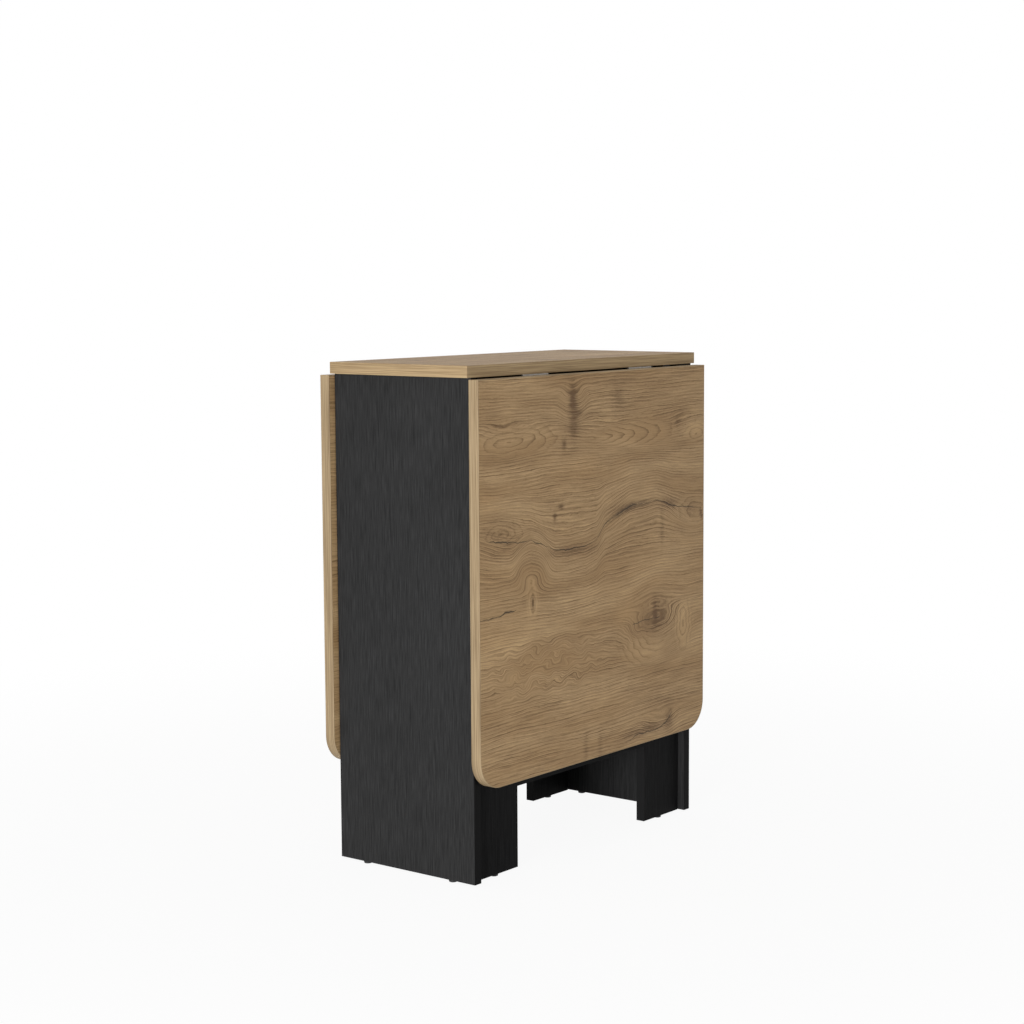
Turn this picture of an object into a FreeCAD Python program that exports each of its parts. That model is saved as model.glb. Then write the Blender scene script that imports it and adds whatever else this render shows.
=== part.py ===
import FreeCAD, Part
import math
import os

# Folding gate-leg dining table, folded away. Millimetres, +Z up.
# The origin is on the floor under the middle of the table, X runs along the table, -Y is the front.
# The rear leaf and rear gate are the front ones turned half a turn about Z.

V = FreeCAD.Vector
X = V(1, 0, 0)
Y = V(0, 1, 0)
Z = V(0, 0, 1)

# Top and leaves
table_length = 600.0
top_depth = 272.0
top_thickness = 18.0
leaf_drop = 612.0
leaf_thickness = 18.0
leaf_corner_radius = 46.0
edge_band_thickness = 1.0
edge_band_rounding = 0.4

# Base boards
panel_height = 761.0
panel_thickness = 15.0
panel_end_inset = 10.0
panel_edge_inset = 0.5
centre_panel_height = 615.0
centre_panel_thickness = 15.0

# Gates
gate_setback = 12.0
gate_thickness = 15.0
gate_stile_width = 100.0
gate_rail_height = 100.0
gate_arch_height = 127.5
gate_top_gap = 4.5
gate_free_gap = 3.0

# Hinges: steel flaps with rolled knuckles on a pin
flap_thickness = 1.0
flap_corner_radius = 3.0
hinge_pin_radius = 0.9
hinge_pin_chamfer = 0.3
hinge_pin_clearance = 0.05
knuckle_wall = 0.8
knuckle_count = 5
knuckle_gap = 0.2
knuckle_notch_clearance = 0.4
leaf_hinge_length = 64.0
leaf_hinge_flap_depth = 20.0
leaf_hinge_end_inset = 161.5
leaf_hinge_offset = 2.0
leaf_joint_gap = 1.0
leaf_screw_spacing = 24.0
leaf_screw_stagger = 5.0
gate_hinge_length = 50.0
gate_hinge_flap_depth = 13.0
gate_hinge_offset = 2.3
gate_hinge_count = 3
gate_hinge_end_margin = 90.0
gate_screw_spacing = 30.0

# Countersunk hinge screws
screw_head_radius = 2.8
screw_head_depth = 1.4
screw_shank_radius = 1.5
screw_length = 12.0
screw_tip_length = 2.0
screw_slot_length = 4.2
screw_slot_width = 0.7
screw_slot_depth = 0.6

# Cam locks, cam bolts and dowels
cam_radius = 7.5
cam_depth = 12.0
cam_slot_length = 7.5
cam_slot_width = 1.4
cam_slot_depth = 1.6
cam_reach = 24.0
bolt_thread_radius = 2.5
bolt_thread_length = 11.0
bolt_neck_radius = 2.2
bolt_head_radius = 3.2
bolt_head_length = 3.0
bolt_hole_clearance = 0.3
dowel_radius = 4.0
dowel_length = 30.0
dowel_seat = 10.0
dowel_chamfer = 1.0
panel_cam_spacing = 140.0
panel_dowel_spacing = 60.0
centre_cam_spacing = 300.0
centre_dowel_spacing = 120.0
centre_end_cam_margin = 110.0
centre_end_dowel_offset = 50.0
rail_dowel_spacing = 60.0

# Floor glides, bumper pads and gate stops
glide_height = 4.0
glide_radius = 6.5
glide_rounding = 1.2
glide_nail_radius = 1.2
glide_nail_length = 14.0
panel_glide_spacing = 173.0
pad_radius = 6.0
pad_gap = 0.5
pad_chamfer = 0.8
pad_spacing = 50.0
stop_width = 8.0
stop_depth = 12.0
stop_height = 40.0
stop_centre_height = 420.0
stop_gap = 0.3
stop_screw_length = 18.0
stop_screw_spacing = 24.0

# Levels and planes that several pieces share
underside = glide_height + panel_height
table_height = underside + top_thickness
half_length = table_length / 2
half_depth = top_depth / 2
panel_outer_x = half_length - panel_end_inset
panel_inner_x = panel_outer_x - panel_thickness
panel_middle_x = panel_inner_x + panel_thickness / 2
panel_half_depth = half_depth - panel_edge_inset
centre_half_thickness = centre_panel_thickness / 2
centre_bottom = underside - centre_panel_height
knuckle_radius = hinge_pin_radius + hinge_pin_clearance + knuckle_wall

# The leaf's hinge line runs half the joint gap outside the top's edge, one flap offset below the top.
leaf_axis_y = -half_depth - leaf_joint_gap / 2
leaf_axis_z = underside - leaf_hinge_offset
leaf_inner_y = leaf_axis_y - leaf_hinge_offset
leaf_outer_y = leaf_inner_y - leaf_thickness
leaf_top = leaf_axis_z - leaf_joint_gap / 2
leaf_bottom = leaf_top - leaf_drop

# The front gate stands between the side panels and is hinged on the left one.
gate_front_y = gate_setback - panel_half_depth
gate_back_y = gate_front_y + gate_thickness
gate_middle_y = gate_front_y + gate_thickness / 2
gate_axis_x = gate_hinge_offset - panel_inner_x
gate_hinge_edge = gate_axis_x + gate_hinge_offset
gate_free_edge = panel_inner_x - gate_free_gap
gate_top = underside - gate_top_gap
lower_rail_bottom = glide_height + gate_arch_height
rail_left = gate_hinge_edge + gate_stile_width
rail_right = gate_free_edge - gate_stile_width


def block(x0, x1, y0, y1, z0, z1):
    return Part.makeBox(x1 - x0, y1 - y0, z1 - z0, V(x0, y0, z0))


def lathe(profile, point, axis):
    """A turned piece: (radius, height) points from axis to axis, set at a point along an axis."""
    corners = [V(radius, 0, height) for radius, height in profile]
    face = Part.Face(Part.makePolygon(corners + corners[:1]))
    solid = face.revolve(V(0, 0, 0), Z, 360)
    solid.Placement = FreeCAD.Placement(point, FreeCAD.Rotation(Z, axis))
    return solid


def rod(radius, start, axis, length):
    return Part.makeCylinder(radius, length, start, axis)


def placed(shape, origin, x_axis, y_axis):
    """A copy of a shape, moved from its own frame to an origin and two axes."""
    turn = FreeCAD.Rotation(x_axis, y_axis, x_axis.cross(y_axis), "XYZ")
    copy = shape.copy()
    copy.Placement = FreeCAD.Placement(origin, turn).multiply(copy.Placement)
    return copy


def half_turn(shape):
    copy = shape.copy()
    copy.rotate(V(0, 0, 0), Z, 180)
    return copy


def both(solids):
    """The solids, and the same ones half a turn round."""
    return solids + [half_turn(solid) for solid in solids]


def save(name, solids):
    Part.makeCompound(solids).exportStep("parts/" + name + ".step")


def save_front_and_rear(name, solids):
    save("front_" + name, solids)
    save("rear_" + name, [half_turn(solid) for solid in solids])


def screw(point, axis, length):
    """A countersunk screw with a cross slot, its head's face at the point, driven along the axis."""
    profile = [(0, 0), (screw_head_radius, 0), (screw_shank_radius, screw_head_depth),
               (screw_shank_radius, length - screw_tip_length), (0, length)]
    body = lathe(profile, V(0, 0, 0), Z)
    long = screw_slot_length / 2
    wide = screw_slot_width / 2
    cross = [block(-long, long, -wide, wide, 0, screw_slot_depth),
             block(-wide, wide, -long, long, 0, screw_slot_depth)]
    slotted = body.cut(cross)
    turn = FreeCAD.Placement(point, FreeCAD.Rotation(Z, axis))
    slotted.Placement = turn.multiply(slotted.Placement)
    body.Placement = turn.multiply(body.Placement)
    return slotted, body


def hinge_flap(length, depth, offset, leads, bore_radius):
    """A flap whose knuckles turn on its own Z axis; it runs along +Y on a face at -X."""
    face = -offset
    half = length / 2
    plate = block(face, face + flap_thickness, 0, depth, -half, half)
    far_corners = [edge for edge in plate.Edges
                   if abs(edge.CenterOfMass.y - depth) < 1e-6 and abs(abs(edge.CenterOfMass.z) - half) < 1e-6]
    plate = plate.makeFillet(flap_corner_radius, far_corners)
    pitch = length / knuckle_count
    barrel = []
    notches = []
    for index in range(knuckle_count):
        low = index * pitch - half
        if (index % 2 == 0) == leads:
            barrel.append(rod(knuckle_radius, V(0, 0, low + knuckle_gap / 2), Z, pitch - knuckle_gap))
        else:
            notches.append(block(face, face + flap_thickness, 0, offset + knuckle_notch_clearance,
                                 low - knuckle_gap / 2, low + pitch + knuckle_gap / 2))
    flap = plate.cut(notches).fuse(barrel)
    return flap.cut(rod(bore_radius, V(0, 0, -half), Z, length)).removeSplitter()


def hinge_screws(offset, places):
    """The screws of one flap, as (solids, holes), at (y, z) places on it."""
    made = [screw(V(flap_thickness - offset, y, z), -X, screw_length) for y, z in places]
    return [solid for solid, hole in made], [hole for solid, hole in made]


def hinge_pin(length):
    tip_radius = hinge_pin_radius - hinge_pin_chamfer
    profile = [(0, 0), (tip_radius, 0), (hinge_pin_radius, hinge_pin_chamfer),
               (hinge_pin_radius, length - hinge_pin_chamfer), (tip_radius, length), (0, length)]
    return lathe(profile, V(0, 0, -length / 2), Z)


def cam_joint(meeting, into, cam_axis, half_board):
    """A cam lock and bolt: the bolt is driven along `into` from the meeting point of the two boards,
    and the cam turns about `cam_axis` in the face that lies half a board along that axis.
    Returns the cam, the bolt, the holes in the mate and the holes in the board with the cam."""
    head_start = cam_reach - bolt_head_length
    bolt_profile = [(0, -bolt_thread_length), (bolt_thread_radius, -bolt_thread_length),
                    (bolt_thread_radius, 0), (bolt_neck_radius, 0), (bolt_neck_radius, head_start),
                    (bolt_head_radius, head_start), (bolt_head_radius, cam_reach), (0, cam_reach)]
    back = -into
    bolt = lathe(bolt_profile, meeting, back)
    bolt_hole = rod(bolt_head_radius + bolt_hole_clearance, meeting, back, cam_reach + bolt_hole_clearance)
    mouth = meeting + back * cam_reach + cam_axis * half_board
    cam_hole = rod(cam_radius, mouth, -cam_axis, cam_depth)
    long = cam_slot_length / 2
    wide = cam_slot_width / 2
    cross = [block(-long, long, -wide, wide, -cam_slot_depth, 0),
             block(-wide, wide, -long, long, -cam_slot_depth, 0)]
    slots = [placed(slot, mouth, into, cam_axis.cross(into)) for slot in cross]
    cam = cam_hole.cut([bolt_hole] + slots)
    return cam, bolt, [bolt], [bolt_hole, cam_hole]


def dowel(meeting, into):
    """A dowel seated in the mate, which lies along `into`, and run back into the other board."""
    profile = [(0, 0), (dowel_radius - dowel_chamfer, 0), (dowel_radius, dowel_chamfer),
               (dowel_radius, dowel_length - dowel_chamfer), (dowel_radius - dowel_chamfer, dowel_length),
               (0, dowel_length)]
    return lathe(profile, meeting + into * dowel_seat, -into)


def glide(point):
    """A round nail-on glide under a board's edge: the point is on the floor."""
    top = glide_height + glide_nail_length
    profile = [(0, 0), (glide_radius - glide_rounding, 0), (glide_radius, glide_rounding),
               (glide_radius, glide_height), (glide_nail_radius, glide_height),
               (glide_nail_radius, top - glide_nail_radius), (0, top)]
    return lathe(profile, point, Z)


def split_band(ring, cutters):
    """The separate strips of an edge band: what each cutter takes, then what is left."""
    strips = [ring.common(cutter) for cutter in cutters]
    strips.append(ring.cut(cutters))
    return [solid for strip in strips for solid in strip.Solids]


def leaf_slab(inset):
    """The leaf's outline, drawn in by an inset, through its thickness."""
    left = inset - half_length
    right = half_length - inset
    low = leaf_bottom + inset
    high = leaf_top - inset
    radius = leaf_corner_radius - inset
    slack = radius * (1 - math.sqrt(0.5))
    y = leaf_outer_y
    outline = [Part.LineSegment(V(left, y, high), V(right, y, high)),
               Part.LineSegment(V(right, y, high), V(right, y, low + radius)),
               Part.Arc(V(right, y, low + radius), V(right - slack, y, low + slack), V(right - radius, y, low)),
               Part.LineSegment(V(right - radius, y, low), V(left + radius, y, low)),
               Part.Arc(V(left + radius, y, low), V(left + slack, y, low + slack), V(left, y, low + radius)),
               Part.LineSegment(V(left, y, low + radius), V(left, y, high))]
    return Part.Face(Part.Wire([curve.toShape() for curve in outline])).extrude(Y * leaf_thickness)


def rounded_rim(slab, normal):
    """A slab with the rim of both its faces, which are square to `normal`, slightly rounded."""
    rim = [edge for edge in slab.Edges if abs(edge.tangentAt(edge.FirstParameter).dot(normal)) < 0.5]
    return slab.makeFillet(edge_band_rounding, rim)


os.makedirs("parts", exist_ok=True)

# Knock-down joints of the base: side panels to the top, centre panel to the top and to the side panels
cams = []
bolts = []
dowels = []
top_holes = []
panel_holes = []
centre_holes = []
for side in (-1, 1):
    for end in (-1, 1):
        meeting = V(side * panel_middle_x, end * panel_cam_spacing / 2, underside)
        cam, bolt, mate, own = cam_joint(meeting, Z, X * -side, panel_thickness / 2)
        cams.append(cam)
        bolts.append(bolt)
        top_holes += mate
        panel_holes += own
        peg = dowel(V(side * panel_middle_x, end * panel_dowel_spacing / 2, underside), Z)
        dowels.append(peg)
        top_holes.append(peg)
        panel_holes.append(peg)
        level = (underside + centre_bottom) / 2 + end * (centre_panel_height / 2 - centre_end_cam_margin)
        cam, bolt, mate, own = cam_joint(V(side * panel_inner_x, 0, level), X * side, Y, centre_half_thickness)
        cams.append(cam)
        bolts.append(bolt)
        panel_holes += mate
        centre_holes += own
        peg = dowel(V(side * panel_inner_x, 0, level - end * centre_end_dowel_offset), X * side)
        dowels.append(peg)
        panel_holes.append(peg)
        centre_holes.append(peg)
    meeting = V(side * centre_cam_spacing / 2, 0, underside)
    cam, bolt, mate, own = cam_joint(meeting, Z, Y, centre_half_thickness)
    cams.append(cam)
    bolts.append(bolt)
    top_holes += mate
    centre_holes += own
    peg = dowel(V(side * centre_dowel_spacing / 2, 0, underside), Z)
    dowels.append(peg)
    top_holes.append(peg)
    centre_holes.append(peg)
save("base_cam_locks", cams)
save("base_cam_bolts", bolts)
save("base_dowels", dowels)

# Leaf hinges: one flap under the top, one on the leaf's inner face
fixed_flap = hinge_flap(leaf_hinge_length, leaf_hinge_flap_depth, leaf_hinge_offset, True, hinge_pin_radius)
moving_flap = hinge_flap(leaf_hinge_length, leaf_hinge_flap_depth, leaf_hinge_offset, False,
                         hinge_pin_radius + hinge_pin_clearance)
row = leaf_hinge_flap_depth / 2 + leaf_hinge_offset / 2
leaf_screw_places = [(row - leaf_screw_stagger / 2, -leaf_screw_spacing), (row + leaf_screw_stagger / 2, 0),
                     (row - leaf_screw_stagger / 2, leaf_screw_spacing)]
flap_screws, flap_screw_holes = hinge_screws(leaf_hinge_offset, leaf_screw_places)
fixed_flap = fixed_flap.cut(flap_screw_holes)
moving_flap = moving_flap.cut(flap_screw_holes)
pin = hinge_pin(leaf_hinge_length)
top_flaps = []
top_flap_screws = []
top_screw_holes = []
leaf_flaps = []
leaf_flap_screws = []
leaf_screw_holes = []
leaf_pins = []
for side in (-1, 1):
    middle = V(side * (half_length - leaf_hinge_end_inset), leaf_axis_y, leaf_axis_z)
    top_flaps.append(placed(fixed_flap, middle, -Z, Y))
    leaf_flaps.append(placed(moving_flap, middle, Y, -Z))
    leaf_pins.append(placed(pin, middle, -Z, Y))
    for solid, hole in zip(flap_screws, flap_screw_holes):
        top_flap_screws.append(placed(solid, middle, -Z, Y))
        top_screw_holes.append(placed(hole, middle, -Z, Y))
        leaf_flap_screws.append(placed(solid, middle, Y, -Z))
        leaf_screw_holes.append(placed(hole, middle, Y, -Z))
save_front_and_rear("leaf_hinge_top_flaps", top_flaps)
save_front_and_rear("leaf_hinge_top_screws", top_flap_screws)
save_front_and_rear("leaf_hinge_pins", leaf_pins)
save_front_and_rear("leaf_hinge_leaf_flaps", leaf_flaps)
save_front_and_rear("leaf_hinge_leaf_screws", leaf_flap_screws)

# Centre top: a board inside an edge band of four strips
top_slab = block(-half_length, half_length, -half_depth, half_depth, underside, table_height)
top_slab = rounded_rim(top_slab, Z)
top_core = block(edge_band_thickness - half_length, half_length - edge_band_thickness,
                 edge_band_thickness - half_depth, half_depth - edge_band_thickness, underside, table_height)
front_strip = block(-half_length, half_length, -half_depth, edge_band_thickness - half_depth,
                    underside, table_height)
save("top_edge_bands", split_band(top_slab.cut(top_core), both([front_strip])))
save("top_board", [top_core.cut(top_holes + both(top_screw_holes))])

# Leaves: a board inside an edge band of one straight strip at the hinge and one bent round the rest
leaf_shape = rounded_rim(leaf_slab(0), Y)
leaf_core = leaf_slab(edge_band_thickness)
hinge_strip = block(-half_length, half_length, leaf_outer_y, leaf_inner_y,
                    leaf_top - edge_band_thickness, leaf_top)
save_front_and_rear("leaf_edge_bands", split_band(leaf_shape.cut(leaf_core), [hinge_strip]))
save_front_and_rear("leaf_board", [leaf_core.cut(leaf_screw_holes)])

# Gate hinges: one flap on the side panel, one on the edge of the gate
panel_flap = hinge_flap(gate_hinge_length, gate_hinge_flap_depth, gate_hinge_offset, True, hinge_pin_radius)
gate_flap = hinge_flap(gate_hinge_length, gate_hinge_flap_depth, gate_hinge_offset, False,
                       hinge_pin_radius + hinge_pin_clearance)
row = gate_hinge_flap_depth / 2 + gate_hinge_offset / 2
gate_screw_places = [(row, -gate_screw_spacing / 2), (row, gate_screw_spacing / 2)]
flap_screws, flap_screw_holes = hinge_screws(gate_hinge_offset, gate_screw_places)
panel_flap = panel_flap.cut(flap_screw_holes)
gate_flap = gate_flap.cut(flap_screw_holes)
pin = hinge_pin(gate_hinge_length)
panel_flaps = []
panel_flap_screws = []
panel_screw_holes = []
gate_flaps = []
gate_flap_screws = []
gate_screw_holes = []
gate_pins = []
lowest_hinge = lower_rail_bottom + gate_hinge_end_margin
highest_hinge = gate_top - gate_hinge_end_margin
hinge_step = (highest_hinge - lowest_hinge) / (gate_hinge_count - 1)
for index in range(gate_hinge_count):
    middle = V(gate_axis_x, gate_front_y, lowest_hinge + index * hinge_step)
    panel_flaps.append(placed(panel_flap, middle, X, Y))
    gate_flaps.append(placed(gate_flap, middle, -X, Y))
    gate_pins.append(placed(pin, middle, X, Y))
    for solid, hole in zip(flap_screws, flap_screw_holes):
        panel_flap_screws.append(placed(solid, middle, X, Y))
        panel_screw_holes.append(placed(hole, middle, X, Y))
        gate_flap_screws.append(placed(solid, middle, -X, Y))
        gate_screw_holes.append(placed(hole, middle, -X, Y))
save_front_and_rear("gate_hinge_panel_flaps", panel_flaps)
save_front_and_rear("gate_hinge_panel_screws", panel_flap_screws)
save_front_and_rear("gate_hinge_pins", gate_pins)
save_front_and_rear("gate_hinge_gate_flaps", gate_flaps)
save_front_and_rear("gate_hinge_gate_screws", gate_flap_screws)

# Gate: two stiles and two rails, joined with cam locks and dowels
rails = [(lower_rail_bottom, lower_rail_bottom + gate_rail_height), (gate_top - gate_rail_height, gate_top)]
gate_cams = []
gate_bolts = []
gate_dowels = []
stile_holes = []
rail_holes = []
for low, high in rails:
    level = (low + high) / 2
    for edge, into in ((rail_left, -X), (rail_right, X)):
        cam, bolt, mate, own = cam_joint(V(edge, gate_middle_y, level), into, Y, gate_thickness / 2)
        gate_cams.append(cam)
        gate_bolts.append(bolt)
        stile_holes += mate
        rail_holes += own
        for end in (-1, 1):
            peg = dowel(V(edge, gate_middle_y, level + end * rail_dowel_spacing / 2), into)
            gate_dowels.append(peg)
            stile_holes.append(peg)
            rail_holes.append(peg)
save_front_and_rear("gate_cam_locks", gate_cams)
save_front_and_rear("gate_cam_bolts", gate_bolts)
save_front_and_rear("gate_dowels", gate_dowels)

gate_glides = [glide(V(gate_hinge_edge + gate_stile_width / 2, gate_middle_y, 0)),
               glide(V(gate_free_edge - gate_stile_width / 2, gate_middle_y, 0))]
save_front_and_rear("gate_glides", gate_glides)

hinge_stile = block(gate_hinge_edge, rail_left, gate_front_y, gate_back_y, glide_height, gate_top)
free_stile = block(rail_right, gate_free_edge, gate_front_y, gate_back_y, glide_height, gate_top)
save_front_and_rear("gate_hinge_stile", [hinge_stile.cut(stile_holes + gate_screw_holes + gate_glides)])
save_front_and_rear("gate_free_stile", [free_stile.cut(stile_holes + gate_glides)])
for name, (low, high) in zip(("lower", "upper"), rails):
    rail = block(rail_left, rail_right, gate_front_y, gate_back_y, low, high)
    save_front_and_rear("gate_" + name + "_rail", [rail.cut(rail_holes)])

# Bumper pads on the free stile's top, which carry the raised leaf
pad_height = gate_top_gap - pad_gap
pad_profile = [(0, 0), (pad_radius, 0), (pad_radius, pad_height - pad_chamfer),
               (pad_radius - pad_chamfer, pad_height), (0, pad_height)]
pad_middle = gate_free_edge - gate_stile_width / 2
pads = [lathe(pad_profile, V(pad_middle + side * pad_spacing / 2, gate_middle_y, gate_top), Z)
        for side in (-1, 1)]
save_front_and_rear("gate_bumper_pads", pads)

# Gate stops: a block on the side panel behind the gate's free edge
stop_face = panel_inner_x - stop_width
stop_near_y = gate_back_y + stop_gap
stop = block(stop_face, panel_inner_x, stop_near_y, stop_near_y + stop_depth,
             stop_centre_height - stop_height / 2, stop_centre_height + stop_height / 2)
stop_screws = []
stop_screw_holes = []
for side in (-1, 1):
    level = stop_centre_height + side * stop_screw_spacing / 2
    solid, hole = screw(V(stop_face, stop_near_y + stop_depth / 2, level), X, stop_screw_length)
    stop_screws.append(solid)
    stop_screw_holes.append(hole)
save("gate_stops", both([stop.cut(stop_screw_holes)]))
save("gate_stop_screws", both(stop_screws))

# Side panels on their glides, and the centre panel between them
panel_glides = [glide(V(side * panel_middle_x, end * panel_glide_spacing / 2, 0))
                for side in (-1, 1) for end in (-1, 1)]
save("panel_glides", panel_glides)
panel_holes += panel_glides + both(panel_screw_holes + stop_screw_holes)
left_panel = block(-panel_outer_x, -panel_inner_x, -panel_half_depth, panel_half_depth, glide_height, underside)
save("left_side_panel", [left_panel.cut(panel_holes)])
right_panel = block(panel_inner_x, panel_outer_x, -panel_half_depth, panel_half_depth, glide_height, underside)
save("right_side_panel", [right_panel.cut(panel_holes)])
centre_panel = block(-panel_inner_x, panel_inner_x, -centre_half_thickness, centre_half_thickness,
                     centre_bottom, underside)
save("centre_panel", [centre_panel.cut(centre_holes)])
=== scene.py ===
import math

import bmesh
import bpy
from mathutils import Matrix, Vector


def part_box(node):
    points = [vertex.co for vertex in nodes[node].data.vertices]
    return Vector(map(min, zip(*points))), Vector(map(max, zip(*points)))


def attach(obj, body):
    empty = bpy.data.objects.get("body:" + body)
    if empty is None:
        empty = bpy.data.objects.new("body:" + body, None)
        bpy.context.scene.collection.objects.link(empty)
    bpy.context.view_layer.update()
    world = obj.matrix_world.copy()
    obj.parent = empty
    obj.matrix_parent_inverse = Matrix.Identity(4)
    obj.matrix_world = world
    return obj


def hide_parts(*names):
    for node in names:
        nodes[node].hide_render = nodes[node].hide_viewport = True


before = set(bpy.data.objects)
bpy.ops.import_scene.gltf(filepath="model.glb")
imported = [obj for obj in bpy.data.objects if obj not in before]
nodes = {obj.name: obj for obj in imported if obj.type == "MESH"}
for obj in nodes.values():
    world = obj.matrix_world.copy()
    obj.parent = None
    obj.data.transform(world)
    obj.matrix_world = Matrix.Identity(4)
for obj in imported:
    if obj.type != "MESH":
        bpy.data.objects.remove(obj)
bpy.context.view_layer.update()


# Side panels and centre panel: 15 mm particle board faced and edged with a black wood-print laminate.
# The grain is pressed into the laminate as fine upright streaks. The two side panels stand on glides
# and carry the top, and the centre panel ties them together.
class Wire:
    """One output of a node. Arithmetic on it adds Math nodes, and node() adds any other node."""

    def __init__(self, tree, socket=None):
        self.tree = tree
        self.socket = socket

    def node(self, kind, settings=None, sockets=None, out=0):
        made = self.tree.nodes.new(kind)
        for name, value in (settings or {}).items():
            if name == "points":
                curve = made.mapping.curves[0]
                curve.points[0].location = value[0]
                curve.points[1].location = value[-1]
                for point in value[1:-1]:
                    curve.points.new(*point)
                for point in curve.points:
                    point.handle_type = "VECTOR"
                made.mapping.update()
            else:
                setattr(made, name, value)
        for key, value in (sockets or {}).items():
            if isinstance(value, (Wire, list)):
                for wire in [value] if isinstance(value, Wire) else value:
                    self.tree.links.new(wire.socket, made.inputs[key])
            else:
                made.inputs[key].default_value = value
        return Wire(self.tree, made.outputs[out] if made.outputs else None)

    def math(self, operation, *others):
        return self.node("ShaderNodeMath", {"operation": operation}, dict(enumerate((self,) + others)))

    def after(self, operation, first):
        """The same with this value second."""
        return self.node("ShaderNodeMath", {"operation": operation}, {0: first, 1: self})

    def __add__(self, other):
        return self.math("ADD", other)

    def __radd__(self, other):
        return self.after("ADD", other)

    def __sub__(self, other):
        return self.math("SUBTRACT", other)

    def __rsub__(self, other):
        return self.after("SUBTRACT", other)

    def __mul__(self, other):
        return self.math("MULTIPLY", other)

    def __rmul__(self, other):
        return self.after("MULTIPLY", other)

    def __truediv__(self, other):
        return self.math("DIVIDE", other)

    def __rtruediv__(self, other):
        return self.after("DIVIDE", other)

    def __pow__(self, other):
        return self.math("POWER", other)

    def __rpow__(self, other):
        return self.after("POWER", other)

    def axis(self, letter):
        return self.node("ShaderNodeSeparateXYZ", {}, {0: self}, letter)

    def vector(self, x, y, z):
        return self.node("ShaderNodeCombineXYZ", {}, {0: x, 1: y, 2: z})

    def stretched(self, x, y, z):
        """This place, with each axis multiplied by its own factor."""
        return self.node("ShaderNodeVectorMath", {"operation": "MULTIPLY"}, {0: self, 1: (x, y, z)})

    def noise(self, scale=1.0, detail=2.0, roughness=0.5):
        """Soft noise from 0 to 1 at this place."""
        return self.node("ShaderNodeTexNoise", {}, {"Vector": self, "Scale": scale, "Detail": detail,
                                                    "Roughness": roughness})

    def ramp(self, low, high):
        """0 below low, 1 above high, smooth between them."""
        return self.node("ShaderNodeMapRange", {"interpolation_type": "SMOOTHSTEP"},
                         {"Value": self, "From Min": low, "From Max": high})

    def blend(self, first, second):
        """A colour that goes from the first to the second as this value goes from 0 to 1."""
        return self.node("ShaderNodeMix", {"data_type": "RGBA"}, {0: self, 6: first, 7: second}, 2)


def new_material(name):
    """An empty node material and the place on the piece, in metres."""
    material = bpy.data.materials.new(name)
    material.use_nodes = True
    material.node_tree.nodes.clear()
    place = Wire(material.node_tree).node("ShaderNodeTexCoord", {}, {}, "Object")
    return material, place


def surface(place, colour, roughness, relief, depth, **constants):
    """The material's shader: its colour, roughness and relief, and sockets that are the same all over."""
    normal = place.node("ShaderNodeBump", {}, {"Height": relief, "Distance": depth, "Strength": 1.0})
    sockets = {"Base Color": colour, "Roughness": roughness, "Normal": normal}
    for name, value in constants.items():
        sockets[name.replace("_", " ")] = value
    shader = place.node("ShaderNodeBsdfPrincipled", {}, sockets)
    place.node("ShaderNodeOutputMaterial", {}, {"Surface": shader})


def dress(material, *names):
    """Gives CAD nodes a material."""
    for name in names:
        for slot in nodes[name].material_slots:
            slot.material = material


def black_laminate(name, stretch, tones, sheen, board, edge_axis):
    """Black wood print. The stretch is how fast the grain changes along each axis, per metre. The tones
    are the print's dark and pale one and that of the edge bands, which close the board at both ends of
    the edge axis. The bands' tone is set apart from the faces' as painted light and shade, by how much
    light the edges get."""
    black, charcoal, band_black = tones
    band_thickness = 0.0005
    vessel_rate = 0.37
    cloud_rate = 7.0
    fibre_share = 0.75
    cloud_share = 0.35
    line_share = 0.20
    grain_depth = 0.00012
    low, high = [getattr(corner, edge_axis.lower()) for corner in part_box(board)]
    material, place = new_material(name)
    fibre = place.stretched(*stretch).noise(1.0, 4.0, 0.6)
    vessel = place.stretched(*[rate * vessel_rate for rate in stretch]).noise(1.0, 2.0)
    cloud = place.noise(cloud_rate, 2.0)
    lines = vessel.ramp(0.56, 0.70)
    tone = fibre.ramp(0.3, 0.72) * fibre_share + cloud * cloud_share - lines * line_share
    depth = place.axis(edge_axis).math("ABSOLUTE")
    past_near = depth.math("LESS_THAN", max(low, -high) + band_thickness)
    past_far = depth.math("GREATER_THAN", max(high, -low) - band_thickness)
    colour = (past_near + past_far).blend(tone.blend(black, charcoal), band_black)
    roughness = 0.62 - fibre * 0.15
    relief = fibre - lines * 0.6
    surface(place, colour, roughness, relief, grain_depth, Specular_IOR_Level=sheen)
    return material


upright = (700, 700, 26)
panel_sheen = 0.042
# The third tone, the edge bands', is painted far darker than the faces: painted shade on the front and back
# edges, which face away from the softbox on the left.
panel_and_shaded_band_tones = [(0.0150, 0.0150, 0.0152, 1), (0.0398, 0.0398, 0.0402, 1), (0.0050, 0.0050, 0.0051, 1)]
panel_black = black_laminate("black_laminate_panels", upright, panel_and_shaded_band_tones, panel_sheen,
                             "left_side_panel", "Y")
dress(panel_black, "left_side_panel", "right_side_panel", "centre_panel")


# Knock-down fittings of the base: beech dowels, steel cam bolts and die-cast zinc cam locks.
# They sit in blind holes. Only the cams' slotted faces show, on the inner faces of the side panels
# and on one face of the centre panel.
def metal(name, tone, roughness, grain):
    """Plated metal with fine clouding and scratches. The grain is how fast the scratches change along
    each axis, per metre."""
    cloud_rate = 240.0
    scratch_depth = 0.00002
    pale = tuple(share * 1.12 for share in tone) + (1,)
    dull = tuple(share * 0.80 for share in tone) + (1,)
    material, place = new_material(name)
    cloud = place.noise(cloud_rate, 3.0)
    scratch = place.stretched(*grain).noise(1.0, 3.0)
    colour = (cloud * 0.5 + scratch * 0.5).ramp(0.35, 0.65).blend(dull, pale)
    surface(place, colour, roughness + cloud * 0.12, scratch, scratch_depth, Metallic=1.0)
    return material


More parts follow.
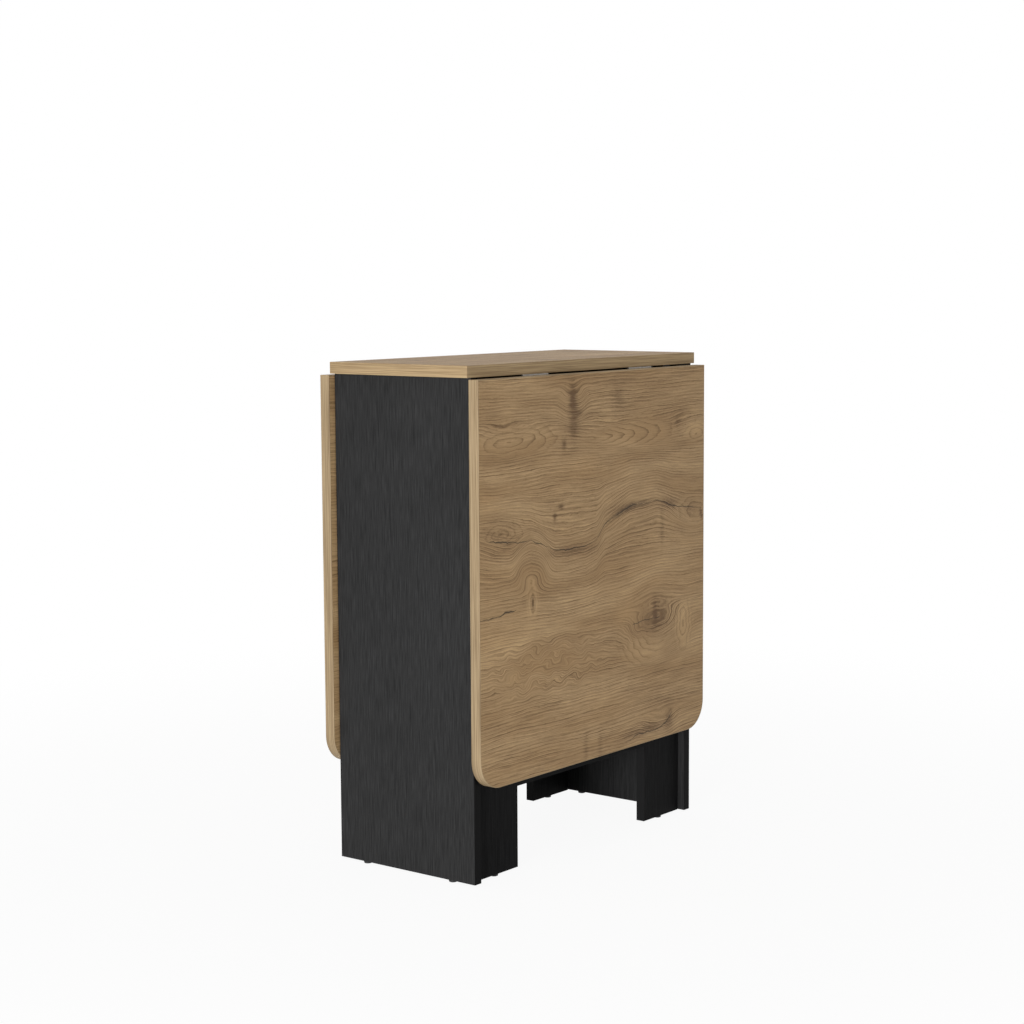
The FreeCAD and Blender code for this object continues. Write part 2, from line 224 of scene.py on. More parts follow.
def beech(name):
    """Pale turned beech with short brown flecks."""
    pale_beech = (0.52, 0.36, 0.20, 1)
    fleck_brown = (0.34, 0.20, 0.10, 1)
    roughness = 0.6
    fleck_depth = 0.00005
    material, place = new_material(name)
    fleck = place.stretched(900, 900, 300).noise(1.0, 2.0).ramp(0.58, 0.68)
    surface(place, fleck.blend(pale_beech, fleck_brown), roughness, fleck * -1, fleck_depth)
    return material


def places_of(names, thin):
    """Where each separate solid of some CAD nodes starts and which way it runs: along its longest side,
    or its shortest if it is thin, from the end that has more corners."""
    weld = 1e-6
    skin = 0.00005
    found = []
    for name in names:
        shell = bmesh.new()
        shell.from_mesh(nodes[name].data)
        bmesh.ops.remove_doubles(shell, verts=shell.verts, dist=weld)
        seen = set()
        for first in shell.verts:
            if first in seen:
                continue
            seen.add(first)
            solid = [first]
            for corner in solid:
                others = [edge.other_vert(corner) for edge in corner.link_edges]
                fresh = [other for other in others if other not in seen]
                seen.update(fresh)
                solid += fresh
            low = Vector([min(corner.co[i] for corner in solid) for i in range(3)])
            high = Vector([max(corner.co[i] for corner in solid) for i in range(3)])
            ranked = sorted(range(3), key=lambda i: high[i] - low[i])
            run = ranked[0] if thin else ranked[2]
            at_low = sum(corner.co[run] < low[run] + skin for corner in solid)
            at_high = sum(corner.co[run] > high[run] - skin for corner in solid)
            start = (low + high) / 2
            axis = Vector()
            start[run] = low[run] if at_low >= at_high else high[run]
            axis[run] = 1 if at_low >= at_high else -1
            found.append((start, axis))
        shell.free()
    return found


def turned_tree(name, profile, sides, material, flutes=0, recess=False):
    """Geometry nodes for one small turned fitting, set at every point along the point's own axis.
    The profile is (radius, height) in shares of the fitting's radius and length, from its start."""
    flute_depth = 0.03
    tree = bpy.data.node_groups.new(name, "GeometryNodeTree")
    tree.interface.new_socket("Points", in_out="INPUT", socket_type="NodeSocketGeometry")
    for size in ("Radius", "Length", "Slot length", "Slot width", "Slot depth"):
        tree.interface.new_socket(size, in_out="INPUT", socket_type="NodeSocketFloat")
    tree.interface.new_socket("Fittings", in_out="OUTPUT", socket_type="NodeSocketGeometry")
    start = Wire(tree)
    given = [Wire(tree, out) for out in tree.nodes.new("NodeGroupInput").outputs[:6]]
    points, radius, length, slot_length, slot_width, slot_depth = given

    rings = len(profile) - 1
    blank = start.node("GeometryNodeMeshCylinder", {}, {"Vertices": sides, "Side Segments": rings,
                                                        "Radius": 1.0, "Depth": 1.0})
    place = start.node("GeometryNodeInputPosition")
    share = place.axis("Z") + 0.5
    widths = [(index / rings, width) for index, (width, rise) in enumerate(profile)]
    rises = [(index / rings, rise) for index, (width, rise) in enumerate(profile)]
    width = start.node("ShaderNodeFloatCurve", {"points": widths}, {"Value": share}) * radius
    rise = start.node("ShaderNodeFloatCurve", {"points": rises}, {"Value": share}) * length
    if flutes:
        angle = place.axis("Y").math("ARCTAN2", place.axis("X"))
        width = width * ((angle * flutes).math("COSINE") * flute_depth + (1 - flute_depth))
    spot = start.vector(place.axis("X") * width, place.axis("Y") * width, rise)
    shape = start.node("GeometryNodeSetPosition", {}, {"Geometry": blank, "Position": spot})
    if recess:
        deep = slot_depth * 2
        bar_sizes = [start.vector(slot_length, slot_width, deep),
                     start.vector(slot_width, slot_length, deep)]
        bars = [start.node("GeometryNodeMeshCube", {}, {"Size": bar_size}) for bar_size in bar_sizes]
        shape = start.node("GeometryNodeMeshBoolean", {"operation": "DIFFERENCE", "solver": "EXACT"},
                           {"Mesh 1": shape, "Mesh 2": bars})

    axis = start.node("GeometryNodeInputNamedAttribute", {"data_type": "FLOAT_VECTOR"}, {"Name": "axis"})
    turn = start.node("FunctionNodeAlignRotationToVector", {"axis": "Z"}, {"Vector": axis})
    copies = start.node("GeometryNodeInstanceOnPoints", {},
                        {"Points": points, "Instance": shape, "Rotation": turn})
    real = start.node("GeometryNodeRealizeInstances", {}, {0: copies})
    done = start.node("GeometryNodeSetMaterial", {}, {"Geometry": real, "Material": material})
    start.node("NodeGroupOutput", {}, {"Fittings": done})
    return tree


def fit(name, tree, sizes, body, replaced, thin=False):
    """Sets a tree's fittings where some CAD nodes have theirs, as one mesh that stands for those nodes."""
    places = places_of(replaced, thin)
    marks = bpy.data.meshes.new(name + "_places")
    marks.from_pydata([start for start, axis in places], [], [])
    axes = marks.attributes.new("axis", "FLOAT_VECTOR", "POINT")
    for item, (start, axis) in zip(axes.data, places):
        item.vector = axis
    holder = bpy.data.objects.new(name + "_places", marks)
    bpy.context.scene.collection.objects.link(holder)
    modifier = holder.modifiers.new("fittings", "NODES")
    modifier.node_group = tree
    for socket in tree.interface.items_tree:
        if socket.name in sizes:
            modifier[socket.identifier] = sizes[socket.name]
    shaped = holder.evaluated_get(bpy.context.evaluated_depsgraph_get())
    piece = bpy.data.objects.new(name, bpy.data.meshes.new_from_object(shaped))
    bpy.data.objects.remove(holder)
    bpy.context.scene.collection.objects.link(piece)
    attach(piece, body)
    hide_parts(*replaced)


dowel_profile = [(0.75, 0.0), (1.0, 0.04), (1.0, 0.96), (0.75, 1.0)]
dowel_tree = turned_tree("fluted_dowel", dowel_profile, 64, beech("turned_beech"), flutes=16)
dowel_sizes = {"Radius": 0.0040, "Length": 0.030}
fit("base_fluted_dowels", dowel_tree, dowel_sizes, "base", ["base_dowels"])

die_cast_zinc = metal("die_cast_zinc", (0.42, 0.41, 0.40), 0.42, (300, 300, 300))
cam_profile = [(0.55, 0.0), (0.94, 0.0), (1.0, 0.05), (1.0, 0.30), (0.95, 0.34), (0.95, 0.70),
               (1.0, 0.74), (1.0, 1.0)]
cam_tree = turned_tree("cam_lock", cam_profile, 40, die_cast_zinc, recess=True)
cam_sizes = {"Radius": 0.0075, "Length": 0.012,
             "Slot length": 0.0078, "Slot width": 0.0014, "Slot depth": 0.0018}
fit("base_cam_lock_set", cam_tree, cam_sizes, "base", ["base_cam_locks"], thin=True)

zinc_steel = metal("zinc_plated_steel", (0.27, 0.25, 0.225), 0.30, (60, 1500, 1500))
dress(zinc_steel, "base_cam_bolts", "front_gate_cam_bolts", "rear_gate_cam_bolts")


# Top: an 18 mm board printed with knotty oak, grain along the table, edged with a thin oak band.
# It lies on the side panels and the centre panel and is held from below by the cam bolts.
def oak_print(name, across_axis, swells, knots, swirls, eyes, smudges_and_painted_light, splits, seed):
    """Printed oak, in metres along X and across the grain.
    Each swell, knot, swirl and smudge is (along, across, reach along, reach across, amount). They draw the
    lines of the grain down, part them, stir them, and darken the wood; a smudge below 0 lightens it, and
    such a pale smudge also serves as painted light.
    An eye is a nest of rings as (along, across, spacing along, spacing across), where it shows as
    (along, across, reach along, reach across), and its depth of colour.
    A split is (left, right, low, high, width, pull), the bark in it as (along, reach, width), and its
    line in shares of that box. The grain within the pull follows the line."""
    pale = (0.604, 0.412, 0.213, 1)
    tan = (0.433, 0.274, 0.128, 1)
    ring_brown = (0.136, 0.075, 0.033, 1)
    split_brown = (0.040, 0.027, 0.016, 1)
    ring_pitch = 0.0056
    fine_pitch = 0.0026
    sway_height = 0.030
    wobble_height = 0.006
    jag_height = 0.007
    hairline = 0.0003
    split_taper = 0.06
    bark_share = 0.55
    ring_share = 0.64
    fine_share = 0.29
    fibre_share = 0.34
    pore_share = 0.26
    relief_depth = 0.00010
    sheen = 0.25
    material, place = new_material(name)
    along = place.axis("X")
    across = place.axis(across_axis)
    flat = place.vector(along, across, seed)

    def apart_from(middle_along, middle_across, unit_along, unit_across):
        """How far a place is from a middle, in those units."""
        scale = (1 / unit_along, 1 / unit_across, 0)
        shift = (-middle_along / unit_along, -middle_across / unit_across, 0)
        apart = flat.node("ShaderNodeVectorMath", {"operation": "MULTIPLY_ADD"},
                          {0: flat, 1: scale, 2: shift})
        return flat.node("ShaderNodeVectorMath", {"operation": "LENGTH"}, {0: apart}, "Value")

    def fade(distance, power):
        """1 at the middle, falling to little past a distance of 1."""
        return (1 / math.e) ** distance ** power

    def bell(middle_along, middle_across, reach_along, reach_across, power=2):
        return fade(apart_from(middle_along, middle_across, reach_along, reach_across), power)

    def ring_line(turns, sharpness):
        """Once in each turn, a line that darkens slowly and ends sharply."""
        share = turns.math("FRACT")
        return share ** sharpness * (1 - share ** 24)

    jag = flat.stretched(70, 20, 1).noise(1.0, 3.0) * jag_height - jag_height / 2
    gape = flat.stretched(18, 6, 1).noise(1.0, 2.0).ramp(0.36, 0.66)
    ragged = flat.stretched(110, 420, 1).noise(1.0, 4.0, 0.7).ramp(0.38, 0.54)
    height = across
    cracks = []
    for (left, right, low, high, width, pull), (bark_along, bark_reach, bark_width), points in splits:
        share = (along - left) / (right - left)
        line = place.node("ShaderNodeFloatCurve", {"points": points}, {"Value": share})
        apart = across - low - line * (high - low)
        if pull:
            height = height - (line - 0.5) * (high - low) * fade(apart / pull, 2)
        inside = share.ramp(0.0, split_taper) * (1 - share.ramp(1 - split_taper, 1.0))
        off = (apart + jag).math("ABSOLUTE")
        cracks.append((1 - off.ramp(0.0, gape * width + hairline)) * inside)
        if bark_width:
            barked = fade((along - bark_along) / bark_reach, 4)
            cracks.append((1 - off.ramp(0.0, bark_width)) * ragged * barked * bark_share)
    for *spot, drop in swells:
        height = height + bell(*spot, 4) * drop
    for *spot, parting in knots:
        height = height - (across - spot[1]) * bell(*spot) * parting
    stir = flat.stretched(27, 36, 1).noise(1.0, 1.0) - 0.5
    for *spot, amount in swirls:
        height = height + stir * bell(*spot, 4) * amount
    sway = flat.stretched(2.6, 9, 1).noise(1.0, 2.0) * sway_height
    wobble = flat.stretched(18, 70, 1).noise(1.0, 4.0, 0.6) * wobble_height
    height = height + sway + wobble

    follow = place.vector(along, height, seed)
    patch = follow.stretched(6, 50, 1).noise(1.0, 3.0).ramp(0.34, 0.62) * 0.4 + 0.6
    pick = follow.stretched(2.4, 190, 1).noise(1.0, 1.0).ramp(0.32, 0.66) * 0.5 + 0.5
    ring = ring_line(height / ring_pitch, 1.8) * patch * pick
    ripple = flat.stretched(22, 60, 1).noise(1.0, 2.0) * 1.6
    calm = 0.0
    for nest, shown, depth in eyes:
        mask = bell(*shown, 4)
        nest_ring = ring_line(apart_from(*nest) + ripple, 5) * patch * depth
        ring = ring + (nest_ring - ring) * mask
        calm = mask + calm
    plain = 1 - calm * 0.5
    fine_patch = follow.stretched(8, 34, 1).noise(1.3, 2.0).ramp(0.38, 0.62) * 0.6 + 0.4
    wave = (height * (math.tau / fine_pitch)).math("SINE") * 0.5 + 0.5
    fine = wave ** 1.5 * fine_patch * plain
    fibre = follow.stretched(20, 480, 1).noise(1.0, 4.0, 0.65).ramp(0.32, 0.68)
    pore = follow.stretched(130, 1500, 1).noise(1.0, 2.0).ramp(0.54, 0.74)
    cloud = follow.stretched(4, 20, 1).noise(1.0, 4.0).ramp(0.28, 0.72)

    dark = ring * ring_share + fine * fine_share + fibre * plain * fibre_share + pore * pore_share
    blotch = fibre * 0.3 + ragged * 0.25 + 0.6
    for *spot, depth in smudges_and_painted_light:
        dark = dark + bell(*spot) * blotch * depth
    colour = dark.math("MINIMUM", 1.0).blend(cloud.blend(pale, tan), ring_brown)
    relief = pore * -0.5 - ring * 0.5
    for crack in cracks:
        colour = crack.blend(colour, split_brown)
        relief = relief - crack
    roughness = 0.54 + pore * 0.10 + ring * 0.06
    surface(place, colour, roughness, relief, relief_depth, Specular_IOR_Level=sheen)
    return material


def oak_band(name, stretch, pale, brown):
    """Thin oak edging with fine streaks along the edge. The stretch is as for the laminate."""
    cloud_rate = 14.0
    streak_depth = 0.00005
    sheen = 0.25
    material, place = new_material(name)
    streak = place.stretched(*stretch).noise(1.0, 3.0, 0.6)
    cloud = place.noise(cloud_rate, 2.0)
    colour = (streak.ramp(0.36, 0.66) * 0.8 + cloud * 0.2).blend(pale, brown)
    surface(place, colour, 0.52 + streak * 0.1, streak * -1, streak_depth, Specular_IOR_Level=sheen)
    return material


top_swells = [
    (-0.20, 0.05, 0.09, 0.030, 0.016),
    (0.12, -0.06, 0.12, 0.030, 0.014),
    (0.22, 0.07, 0.07, 0.030, 0.016),
]
top_knots = [
    (-0.20, 0.05, 0.050, 0.024, 0.6),
    (0.22, 0.07, 0.045, 0.024, 0.6),
]
top_eyes = [
    ((-0.20, 0.05, 0.018, 0.006), (-0.20, 0.05, 0.065, 0.022), 1.1),
    ((0.22, 0.07, 0.012, 0.006), (0.22, 0.07, 0.04, 0.022), 1.1),
    ((0.05, -0.06, 0.032, 0.005), (0.14, -0.06, 0.10, 0.024), 1.4),
]
top_smudges = [
    (-0.20, 0.05, 0.03, 0.012, 0.5),
    (0.22, 0.07, 0.03, 0.012, 0.5),
    (-0.06, -0.10, 0.01, 0.03, 0.4),
]
top_splits = [
    ((-0.24, -0.02, 0.03, 0.07, 0.0016, 0.030), (-0.14, 0.03, 0.003), [
        (0.0, 0.55), (0.2, 0.48), (0.5, 0.30), (0.75, 0.42), (1.0, 0.60)]),
]
top_oak = oak_print("oak_print_top", "Y", top_swells, top_knots, [], top_eyes, top_smudges, top_splits, 7.0)
dress(top_oak, "top_board")
# The top's band and the leaves' band are one oak edging in two tones: the top's is painted lighter, as
# painted light.
top_band_painted_lighter = oak_band("oak_band_top", (9, 9, 800), (0.492, 0.356, 0.196, 1), (0.248, 0.167, 0.085, 1))
dress(top_band_painted_lighter, "top_edge_bands")


# Leaves: two 18 mm oak-print boards that hang from the long edges of the top.
# Their two lower corners are rounded, and one long band is bent round the three free edges.
front_swells = [
    (-0.068, 0.716, 0.034, 0.032, 0.013),
    (-0.228, 0.667, 0.090, 0.026, 0.012),
    (0.100, 0.662, 0.160, 0.030, 0.012),
    (-0.172, 0.484, 0.040, 0.042, -0.028),
    (0.268, 0.526, 0.055, 0.034, 0.012),
    (0.158, 0.328, 0.090, 0.042, 0.024),
    (0.156, 0.362, 0.034, 0.026, -0.0026),
    (0.170, 0.172, 0.050, 0.024, 0.010),
]
front_knots = [
    (-0.246, 0.530, 0.062, 0.034, 0.75),
    (0.270, 0.522, 0.040, 0.026, 0.60),
    (0.156, 0.370, 0.056, 0.044, 0.60),
]
front_swirls = [
    (-0.130, 0.316, 0.150, 0.044, 0.046),
    (0.105, 0.318, 0.050, 0.030, 0.030),
]
front_eyes = [
    ((-0.230, 0.667, 0.029, 0.0070), (-0.212, 0.667, 0.105, 0.021), 1.5),
    ((-0.050, 0.660, 0.036, 0.0046), (0.100, 0.661, 0.110, 0.023), 1.5),
    ((0.274, 0.648, 0.020, 0.0080), (0.274, 0.656, 0.036, 0.016), 1.3),
    ((-0.250, 0.532, 0.017, 0.0060), (-0.238, 0.532, 0.056, 0.021), 0.70),
    ((-0.172, 0.420, 0.006, 0.0130), (-0.172, 0.419, 0.015, 0.022), 1.0),
    ((0.272, 0.523, 0.022, 0.0100), (0.268, 0.522, 0.050, 0.028), 1.0),
    ((0.158, 0.358, 0.0130, 0.0115), (0.124, 0.308, 0.060, 0.024), 1.2),
    ((0.238, 0.336, 0.009, 0.0220), (0.240, 0.332, 0.026, 0.040), 1.6),
]
front_smudges = [
    (-0.069, 0.726, 0.008, 0.020, 0.66),
    (-0.066, 0.690, 0.013, 0.034, 0.42),
    (-0.054, 0.701, 0.012, 0.004, 0.40),
    (-0.092, 0.655, 0.006, 0.008, 0.55),
    (0.050, 0.722, 0.018, 0.022, 0.30),
    (0.220, 0.672, 0.010, 0.008, 0.30),
    (-0.248, 0.532, 0.050, 0.024, 0.40),
    (-0.116, 0.545, 0.004, 0.006, 0.80),
    (-0.100, 0.560, 0.007, 0.004, 0.60),
    (-0.070, 0.490, 0.062, 0.008, 0.50),
    (0.080, 0.541, 0.062, 0.008, 0.34),
    (0.176, 0.500, 0.006, 0.030, 0.28),
    (0.200, 0.540, 0.024, 0.010, 0.50),
    (0.264, 0.526, 0.036, 0.020, 0.42),
    (0.293, 0.512, 0.005, 0.007, 0.70),
    (-0.172, 0.419, 0.004, 0.012, 0.75),
    (0.155, 0.364, 0.006, 0.022, 0.45),
    (0.154, 0.352, 0.046, 0.034, 0.34),
    (0.000, 0.690, 0.300, 0.055, 0.09),
    (-0.285, 0.585, 0.030, 0.020, -0.14),
    (0.170, 0.215, 0.050, 0.022, 0.12),
    (-0.215, 0.675, 0.090, 0.030, 0.12),
    (-0.055, 0.622, 0.050, 0.020, -0.22),
    (-0.175, 0.520, 0.045, 0.020, 0.12),
    (0.140, 0.425, 0.130, 0.030, -0.16),
    (0.075, 0.375, 0.050, 0.024, -0.24),
    (-0.255, 0.368, 0.085, 0.026, -0.28),
    (-0.160, 0.315, 0.070, 0.022, -0.12),
    (0.010, 0.230, 0.045, 0.022, -0.14),
    (0.125, 0.172, 0.052, 0.008, 0.50),
    (0.196, 0.180, 0.012, 0.020, 0.40),
    (-0.037, 0.168, 0.006, 0.022, 0.30),
    (0.002, 0.168, 0.006, 0.022, 0.25),
]
no_bark = (0.0, 0.0, 0.0)
front_splits = [
    ((-0.30, 0.30, 0.48, 0.56, 0.0016, 0.060), (0.074, 0.066, 0.0085), [
        (0.000, 0.60), (0.062, 0.51), (0.162, 0.45), (0.207, 0.44), (0.263, 0.30), (0.308, 0.19),
        (0.357, 0.15), (0.440, 0.16), (0.490, 0.26), (0.525, 0.53), (0.590, 0.70), (0.640, 0.81),
        (0.702, 0.83), (0.768, 0.85), (0.807, 0.78), (0.845, 0.68), (0.930, 0.59), (1.000, 0.53)]),
    ((-0.31, -0.21, 0.40, 0.42, 0.0032, 0.0), (-0.28, 0.03, 0.002), [
        (0.0, 0.42), (0.45, 0.40), (0.70, 0.62), (1.0, 0.70)]),
    ((0.09, 0.17, 0.34, 0.37, 0.0016, 0.0), no_bark, [
        (0.0, 0.35), (0.45, 0.48), (1.0, 0.46)]),
    ((0.07, 0.21, 0.155, 0.200, 0.0020, 0.0), no_bark, [
        (0.0, 0.10), (0.30, 0.30), (0.62, 0.27), (0.82, 0.40), (0.93, 0.62), (1.0, 0.95)]),
]
front_oak = oak_print("oak_print_front_leaf", "Z", front_swells, front_knots, front_swirls, front_eyes,
                      front_smudges, front_splits, 0.0)
dress(front_oak, "front_leaf_board")

rear_swells = [
    (-0.15, 0.60, 0.12, 0.035, 0.018),
    (0.18, 0.45, 0.09, 0.055, 0.030),
    (-0.10, 0.28, 0.12, 0.040, 0.018),
]
rear_knots = [
    (0.18, 0.45, 0.060, 0.046, 0.7),
    (-0.15, 0.60, 0.060, 0.024, 0.5),
]
rear_eyes = [
    ((-0.16, 0.60, 0.026, 0.007), (-0.15, 0.60, 0.08, 0.024), 1.4),
    ((0.18, 0.45, 0.018, 0.010), (0.18, 0.45, 0.06, 0.036), 0.9),
    ((-0.16, 0.28, 0.034, 0.005), (-0.09, 0.28, 0.09, 0.030), 1.4),
]
rear_smudges_and_painted_light = [
    (0.18, 0.45, 0.03, 0.02, 0.6),
    (-0.15, 0.60, 0.02, 0.03, 0.4),
    (0.05, 0.70, 0.01, 0.03, 0.5),
    # A tall pale strip at the left end of the leaf's inner face is painted light, lifting the shade that
    # the left side panel casts there.
    (-0.30, 0.45, 0.02, 0.40, -0.25),
]
rear_splits = [
    ((-0.05, 0.28, 0.42, 0.48, 0.0016, 0.040), (0.12, 0.04, 0.005), [
        (0.0, 0.20), (0.25, 0.30), (0.45, 0.55), (0.70, 0.48), (0.85, 0.60), (1.0, 0.75)]),
]
rear_oak = oak_print("oak_print_rear_leaf", "Z", rear_swells, rear_knots, [], rear_eyes,
                     rear_smudges_and_painted_light, rear_splits, 3.0)
dress(rear_oak, "rear_leaf_board")
# The leaves' band is the same edging painted darker than the top's, as painted shade.
leaf_band_painted_darker = oak_band("oak_band_leaf", (9, 800, 9), (0.436, 0.324, 0.191, 1), (0.220, 0.152, 0.082, 1))
dress(leaf_band_painted_darker, "front_leaf_edge_bands", "rear_leaf_edge_bands")


# Leaf hinges: zinc-plated steel flaps with rolled knuckles on a steel pin, two to each leaf.
# One flap is screwed under the top, the other to the leaf's inner face, with countersunk screws.
screw_profile = [(0.30, 0.0), (0.75, 0.006), (0.97, 0.022), (1.0, 0.034), (0.55, 0.13), (0.53, 0.80),
                 (0.05, 1.0)]
screw_tree = turned_tree("cross_head_screw", screw_profile, 24, zinc_steel, recess=True)
screw_sizes = {"Radius": 0.0028, "Length": 0.012,
               "Slot length": 0.0033, "Slot width": 0.0007, "Slot depth": 0.0008}
fit("base_leaf_hinge_screws", screw_tree, screw_sizes, "base",
    ["front_leaf_hinge_top_screws", "rear_leaf_hinge_top_screws"])
for end in ("front", "rear"):
    leaf = end + "_leaf"
    dress(zinc_steel, leaf + "_hinge_top_flaps", leaf + "_hinge_pins", leaf + "_hinge_leaf_flaps")
    fit(leaf + "_hinge_screws", screw_tree, screw_sizes, leaf, [leaf + "_hinge_leaf_screws"])


# Gates: a frame of two black stiles and two rails behind each leaf, hinged on one side panel.
# The stiles run down to the floor as legs, and the free one carries the leaf when it is raised.
# Cams and dowels join the boards, and three small hinges hold each gate.
lying = (26, 700, 700)
gate_sheen = 0.03
# The gates' tones are the panels' laminate painted darker, as painted shade on the gates' front faces under
# the leaves; their edge bands are painted lighter than those faces, as painted light on the edges.
shaded_gate_tones = [(0.0034, 0.0034, 0.0035, 1), (0.0132, 0.0132, 0.0134, 1), (0.0160, 0.0160, 0.0162, 1)]
for board, stretch, edge_axis in [("hinge_stile", upright, "X"), ("free_stile", upright, "X"),
                                  ("lower_rail", lying, "Z"), ("upper_rail", lying, "Z")]:
    shaded_gate_black = black_laminate("black_laminate_" + board, stretch, shaded_gate_tones, gate_sheen,
                                "front_gate_" + board, edge_axis)
    dress(shaded_gate_black, "front_gate_" + board, "rear_gate_" + board)
for end in ("front", "rear"):
    gate = end + "_gate"
    dress(zinc_steel, gate + "_hinge_panel_flaps", gate + "_hinge_pins", gate + "_hinge_gate_flaps")
    fit(gate + "_fluted_dowels", dowel_tree, dowel_sizes, gate, [gate + "_dowels"])
    fit(gate + "_cam_lock_set", cam_tree, cam_sizes, gate, [gate + "_cam_locks"], thin=True)
    fit(gate + "_hinge_screws", screw_tree, screw_sizes, gate, [gate + "_hinge_gate_screws"])
fit("base_gate_hinge_screws", screw_tree, screw_sizes, "base",
    ["front_gate_hinge_panel_screws", "rear_gate_hinge_panel_screws"])


# Glides, gate stops and bumper pads: glides of moulded black plastic, nailed under the panels and legs,
# stops of the same plastic, screwed to the panels behind the gates' free edges, and grey rubber pads
# on top of the free stiles, where the raised leaves rest.
def moulded(name, dark, light, roughness):
    """Moulded plastic or rubber with a fine eroded grain."""
    grain_rate = 2600.0
    scuff_rate = 160.0
    grain_depth = 0.00004
    sheen = 0.3
    material, place = new_material(name)
    grain = place.noise(grain_rate, 2.0)
    scuff = place.noise(scuff_rate, 3.0)
    colour = scuff.ramp(0.35, 0.7).blend(dark, light)
    surface(place, colour, roughness + scuff * 0.15, grain, grain_depth, Specular_IOR_Level=sheen)
    return material


black_plastic = moulded("moulded_black_plastic", (0.010, 0.010, 0.010, 1), (0.022, 0.022, 0.023, 1), 0.4)
grey_rubber = moulded("grey_rubber", (0.10, 0.10, 0.105, 1), (0.16, 0.16, 0.165, 1), 0.75)
glide_profile = [(0.55, 0.0), (0.80, 0.006), (0.92, 0.026), (0.985, 0.060), (1.0, 0.085), (1.0, 0.185),
                 (0.94, 0.195), (0.94, 0.222), (0.18, 0.222), (0.18, 0.93), (0.02, 1.0)]
glide_tree = turned_tree("nail_on_glide", glide_profile, 40, black_plastic)
glide_sizes = {"Radius": 0.0065, "Length": 0.018}
pad_profile = [(1.0, 0.0), (1.0, 0.60), (0.96, 0.80), (0.86, 0.93), (0.70, 1.0), (0.30, 1.0)]
pad_tree = turned_tree("bumper_pad", pad_profile, 40, grey_rubber)
pad_sizes = {"Radius": 0.0060, "Length": 0.0040}
dress(black_plastic, "gate_stops")
stop_screw_sizes = dict(screw_sizes, Length=0.018)
fit("base_gate_stop_screws", screw_tree, stop_screw_sizes, "base", ["gate_stop_screws"])
fit("base_panel_glides", glide_tree, glide_sizes, "base", ["panel_glides"])
for end in ("front", "rear"):
    gate = end + "_gate"
    fit(gate + "_leg_glides", glide_tree, glide_sizes, gate, [gate + "_glides"])
    fit(gate + "_pads", pad_tree, pad_sizes, gate, [gate + "_bumper_pads"], thin=True)


# Studio: a pale floor that runs out to a white background, a softbox low on the left
# and weaker ones above and behind.
floor_reach = 30.0
floor_white = 0.95
floor_glow = 0.93
fade_start = 0.5
fade_end = 2.0
world_light = 0.34
lamp_aim = Vector((0, 0, 0.45))


def seen_directly(tree):
    """1 for what the camera sees itself, in a mirror or through glass, 0 for what lights the object."""
    path = Wire(tree)
    camera = path.node("ShaderNodeLightPath", {}, {}, "Is Camera Ray")
    glossy = path.node("ShaderNodeLightPath", {}, {}, "Is Glossy Ray")
    through = path.node("ShaderNodeLightPath", {}, {}, "Is Transmission Ray")
    return (camera + glossy + through).math("MINIMUM", 1.0)


floor_mesh = bpy.data.meshes.new("floor")
corners = [(-floor_reach, -floor_reach, 0), (floor_reach, -floor_reach, 0),
           (floor_reach, floor_reach, 0), (-floor_reach, floor_reach, 0)]
floor_mesh.from_pydata(corners, [], [(0, 1, 2, 3)])
floor = bpy.data.objects.new("floor", floor_mesh)
bpy.context.scene.collection.objects.link(floor)
floor_material = bpy.data.materials.new("pale_floor")
floor_material.use_nodes = True
floor_material.node_tree.nodes.clear()
shown = seen_directly(floor_material.node_tree)
matt = shown.node("ShaderNodeBsdfDiffuse", {}, {"Color": (floor_white, floor_white, floor_white, 1)})
glow = shown.node("ShaderNodeEmission", {}, {"Color": (1, 1, 1, 1), "Strength": 1.0})
spot = shown.node("ShaderNodeTexCoord", {}, {}, "Object")
reach = shown.node("ShaderNodeVectorMath", {"operation": "LENGTH"}, {0: spot}, "Value")
glow_share = reach.ramp(fade_start, fade_end) * (1 - floor_glow) + floor_glow
floor_look = shown.node("ShaderNodeMixShader", {}, {0: shown * glow_share, 1: matt, 2: glow})
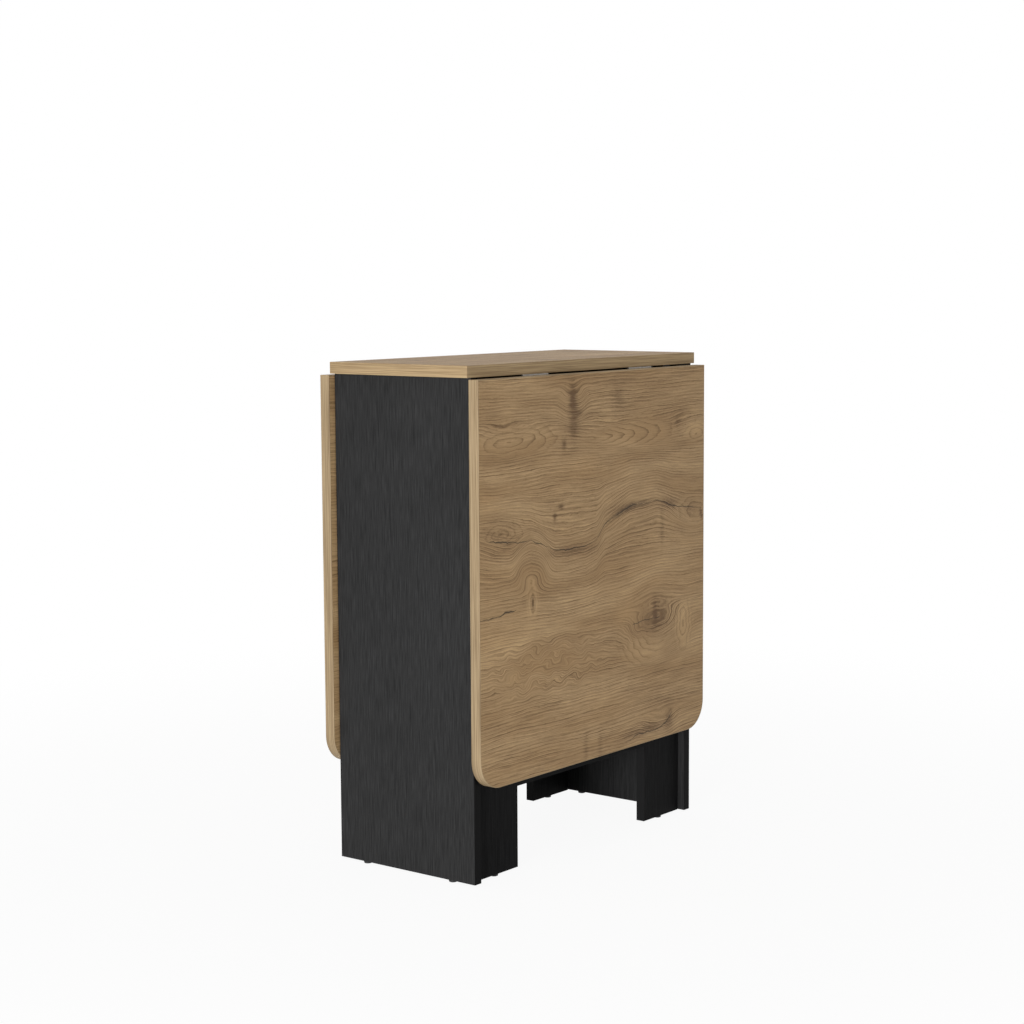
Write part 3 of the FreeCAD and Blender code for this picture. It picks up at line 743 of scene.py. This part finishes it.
shown.node("ShaderNodeOutputMaterial", {}, {"Surface": floor_look})
floor_mesh.materials.append(floor_material)

world = bpy.data.worlds.new("studio")
world.use_nodes = True
world.node_tree.nodes.clear()
shown = seen_directly(world.node_tree)
sky = shown.node("ShaderNodeBackground", {}, {"Color": (1, 1, 1, 1),
                                              "Strength": shown * (1 - world_light) + world_light})
shown.node("ShaderNodeOutputWorld", {}, {"Surface": sky})
bpy.context.scene.world = world


def soft_lamp(name, place, size, power):
    """A square area lamp that looks at the middle of the table."""
    lamp = bpy.data.lights.new(name, "AREA")
    lamp.size = size
    lamp.energy = power
    holder = bpy.data.objects.new(name, lamp)
    aim = lamp_aim - Vector(place)
    holder.matrix_world = Matrix.Translation(place) @ aim.to_track_quat("-Z", "Y").to_matrix().to_4x4()
    bpy.context.scene.collection.objects.link(holder)


soft_lamp("left_softbox", (-5.2, -1.75, 0.6), 1.4, 234)
soft_lamp("overhead_softbox", (0.0, 0.0, 3.3), 2.4, 16)
soft_lamp("back_softbox", (3.6, 3.6, 0.36), 0.7, 90)

bpy.context.scene.view_settings.view_transform = "Standard"


# Camera: a long lens at a little above table height, well round to the left of the front.
# It is aimed a little left of the table's middle and rolled by a fraction of a degree.
view_azimuth = math.radians(-51.809)
view_elevation = math.radians(6.407)
view_roll = math.radians(-0.331)
view_distance = 3.4263
view_target = Vector((-0.0230, 0.0, 0.5346))
lens = bpy.data.cameras.new("camera")
lens.sensor_width = 36.0
lens.lens = 74.861
lens.clip_end = 100.0
camera = bpy.data.objects.new("camera", lens)
back = Vector((math.sin(view_azimuth) * math.cos(view_elevation),
               -math.cos(view_azimuth) * math.cos(view_elevation), math.sin(view_elevation)))
right = Vector((math.cos(view_azimuth), math.sin(view_azimuth), 0))
up = back.cross(right)
turn = Matrix((right, up, back)).transposed() @ Matrix.Rotation(view_roll, 3, "Z")
camera.matrix_world = Matrix.Translation(view_target + back * view_distance) @ turn.to_4x4()
bpy.context.scene.collection.objects.link(camera)
bpy.context.scene.camera = camera
